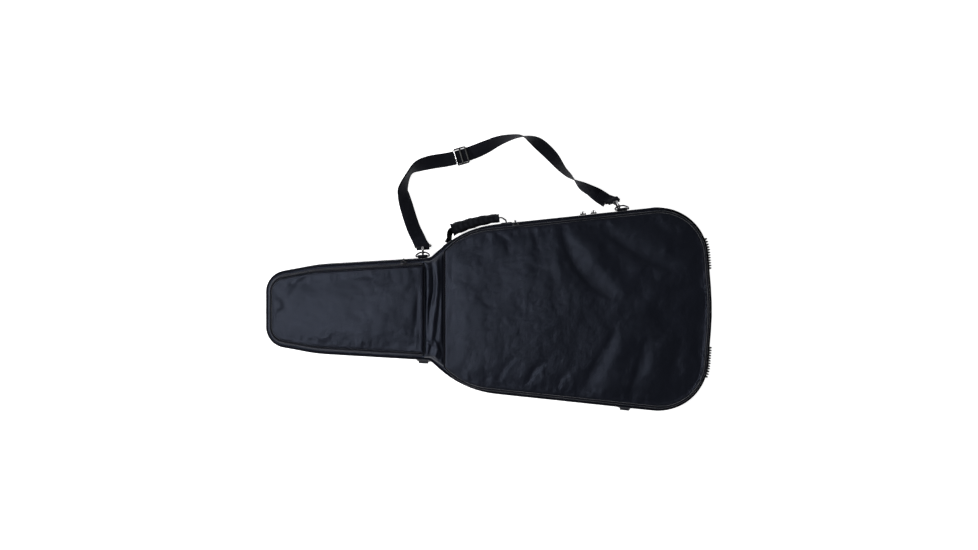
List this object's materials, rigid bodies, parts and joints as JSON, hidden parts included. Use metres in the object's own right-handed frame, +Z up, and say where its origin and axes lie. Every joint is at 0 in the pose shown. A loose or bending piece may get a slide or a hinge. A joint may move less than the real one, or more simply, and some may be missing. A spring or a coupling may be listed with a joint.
{
  "type": "telescope carry case",
  "caption": "Soft padded black carry case lying flat: wide body, tapered neck, zipped lid and pockets, side handle, ribbed skid guards and a clip-on shoulder strap with a slider.",
  "frame": {"origin": "underside of the back panel, half way along the case and on its centre line", "axes": "+X runs from the neck to the wide body end, +Y to the side with the handle and the strap, +Z up out of the front"},
  "size_m": [1.0004, 0.6347, 0.1163],
  "materials": {
    "shell_nylon": "woven coated nylon, dark blue-black, soft sheen",
    "dark_nylon": "black woven nylon, slightly smoother on piping and folds",
    "lining": "brushed dark grey knit lining",
    "foam": "closed-cell grey padding foam",
    "webbing": "black polypropylene webbing, ribbed weave",
    "zip": "black moulded zip teeth on woven tape",
    "rubber": "matt black ribbed rubber",
    "steel": "bright nickel plate",
    "black_metal": "black nickel, semi-gloss",
    "black_plastic": "black moulded acetal"
  },
  "bodies": {
    "base": {"back_panel": "dark_nylon", "back_foam": "foam", "base_lining": "lining", "back_piping": "dark_nylon", "base_gusset": "shell_nylon", "base_gusset_foam": "foam", "zip_tape_base": "zip", "fold_web_base": "dark_nylon", "handle_anchor_neck": "webbing", "handle_anchor_body": "webbing", "ring_tab_neck_strap": "webbing", "ring_tab_body_strap": "webbing", "ring_tab_neck_far": "webbing", "ring_tab_body_far": "webbing", "bumper_near": "rubber", "bumper_far": "rubber", "retaining_strap_body": "webbing", "retaining_strap_neck": "webbing", "strap_loop": "webbing", "strap_main": "webbing"},
    "lid": {"lid_gusset": "shell_nylon", "lid_gusset_foam": "foam", "lid_lining": "lining", "front_panel": "shell_nylon", "front_foam": "foam", "front_piping": "dark_nylon", "zip_tape_lid": "zip", "fold_web_lid": "dark_nylon", "neck_join_band": "dark_nylon", "body_pocket_gusset": "shell_nylon", "neck_pocket_gusset": "shell_nylon"},
    "body_pocket_flap": {"body_pocket_panel": "shell_nylon", "body_pocket_rim": "shell_nylon", "body_pocket_piping": "dark_nylon"},
    "neck_pocket_flap": {"neck_pocket_panel": "shell_nylon", "neck_pocket_rim": "shell_nylon", "neck_pocket_piping": "dark_nylon"},
    "zip_slider_a": {"zip_slider_a": "black_metal"},
    "zip_pull_a": {"zip_pull_a": "black_metal"},
    "zip_slider_b": {"zip_slider_b": "black_metal"},
    "zip_pull_b": {"zip_pull_b": "black_metal"},
    "body_pocket_slider": {"body_pocket_slider": "black_metal"},
    "body_pocket_pull": {"body_pocket_pull": "black_metal"},
    "neck_pocket_slider": {"neck_pocket_slider": "black_metal"},
    "neck_pocket_pull": {"neck_pocket_pull": "black_metal"},
    "carry_handle": {"handle_webbing": "webbing", "handle_grip": "webbing"},
    "ring_neck_far": {"ring_neck_far": "steel"},
    "ring_body_far": {"ring_body_far": "steel"},
    "neck_hook": {"ring_neck_strap": "steel", "hook_neck": "black_metal", "strap_eye_neck": "black_metal"},
    "body_hook": {"ring_body_strap": "steel", "hook_body": "black_metal", "strap_eye_body": "black_metal"},
    "neck_hook_gate": {"hook_gate_neck": "steel"},
    "body_hook_gate": {"hook_gate_body": "steel"},
    "strap_adjuster": {"strap_adjuster": "black_plastic"}
  },
  "joints": [
    {"name": "lid_fold", "type": "hinge", "parent": "base", "child": "lid", "pos_m": [0.19966, -0.21333, 0.055], "axis": [0.9945, -0.1052, 0], "range_deg": [0, 120]},
    {"name": "body_pocket_fold", "type": "hinge", "parent": "lid", "child": "body_pocket_flap", "pos_m": [0.2011, -0.1997, 0.1036], "axis": [0.9945, -0.1052, 0], "range_deg": [0, 25]},
    {"name": "neck_pocket_fold", "type": "hinge", "parent": "lid", "child": "neck_pocket_flap", "pos_m": [-0.2593, -0.09535, 0.1036], "axis": [0.9983, -0.0585, 0], "range_deg": [0, 25]},
    {"name": "zip_slider_a_travel", "type": "slide", "parent": "base", "child": "zip_slider_a", "axis": [-0.9945, -0.1052, 0], "range_m": [0, 0.17]},
    {"name": "zip_pull_a_swing", "type": "hinge", "parent": "zip_slider_a", "child": "zip_pull_a", "pos_m": [0.21315, 0.21971, 0.055], "axis": [0.9945, 0.1052, 0], "range_deg": [0, 150]},
    {"name": "zip_slider_b_travel", "type": "slide", "parent": "base", "child": "zip_slider_b", "axis": [0.9945, 0.1052, 0], "range_m": [0, 0.035]},
    {"name": "zip_pull_b_swing", "type": "hinge", "parent": "zip_slider_b", "child": "zip_pull_b", "pos_m": [0.23715, 0.22225, 0.055], "axis": [0.9945, 0.1052, 0], "range_deg": [0, 150]},
    {"name": "body_pocket_slider_travel", "type": "slide", "parent": "lid", "child": "body_pocket_slider", "axis": [0.9945, 0.1052, 0], "range_m": [0, 0.29]},
    {"name": "body_pocket_pull_swing", "type": "hinge", "parent": "body_pocket_slider", "child": "body_pocket_pull", "pos_m": [0.05915, 0.19219, 0.1036], "axis": [0.9945, 0.1052, 0], "range_deg": [0, 100]},
    {"name": "neck_pocket_slider_travel", "type": "slide", "parent": "lid", "child": "neck_pocket_slider", "axis": [-0.9983, -0.0585, 0], "range_m": [0, 0.165]},
    {"name": "neck_pocket_pull_swing", "type": "hinge", "parent": "neck_pocket_slider", "child": "neck_pocket_pull", "pos_m": [-0.19047, 0.10688, 0.1036], "axis": [0.9983, 0.0585, 0], "range_deg": [0, 100]},
    {"name": "handle_swing", "type": "hinge", "parent": "base", "child": "carry_handle", "pos_m": [-0.0912, 0.1592, 0.034], "axis": [0.9496, 0.3134, 0], "range_deg": [-22, 18]},
    {"name": "ring_neck_far_swing", "type": "hinge", "parent": "base", "child": "ring_neck_far", "pos_m": [-0.15029, -0.11917, 0.0205], "axis": [-0.9983, 0.0585, 0], "range_deg": [-15, 135]},
    {"name": "ring_body_far_swing", "type": "hinge", "parent": "base", "child": "ring_body_far", "pos_m": [0.31248, -0.227, 0.0205], "axis": [-0.9945, 0.1052, 0], "range_deg": [-15, 135]},
    {"name": "neck_hook_swing", "type": "hinge", "parent": "base", "child": "neck_hook", "pos_m": [-0.15129, 0.11911, 0.0475], "axis": [0.9983, 0.0585, 0], "range_deg": [0, 12]},
    {"name": "body_hook_swing", "type": "hinge", "parent": "base", "child": "body_hook", "pos_m": [0.30348, 0.22605, 0.0475], "axis": [0.9945, 0.1052, 0], "range_deg": [0, 12]},
    {"name": "neck_hook_gate_press", "type": "hinge", "parent": "neck_hook", "child": "neck_hook_gate", "pos_m": [-0.15225, 0.13554, 0.034], "axis": [0.9983, 0.0585, 0], "range_deg": [0, 25], "stiffness_Nm_per_rad": 0.02, "springref_deg": -17.19},
    {"name": "body_hook_gate_press", "type": "hinge", "parent": "body_hook", "child": "body_hook_gate", "pos_m": [0.2941, 0.24125, 0.03454], "axis": [0.9, 0.3058, -0.3106], "range_deg": [0, 25], "stiffness_Nm_per_rad": 0.02, "springref_deg": -17.19},
    {"name": "strap_adjuster_travel", "type": "slide", "parent": "base", "child": "strap_adjuster", "axis": [0.9588, 0.284, 0], "range_m": [-0.01, 0.006]}
  ]
}
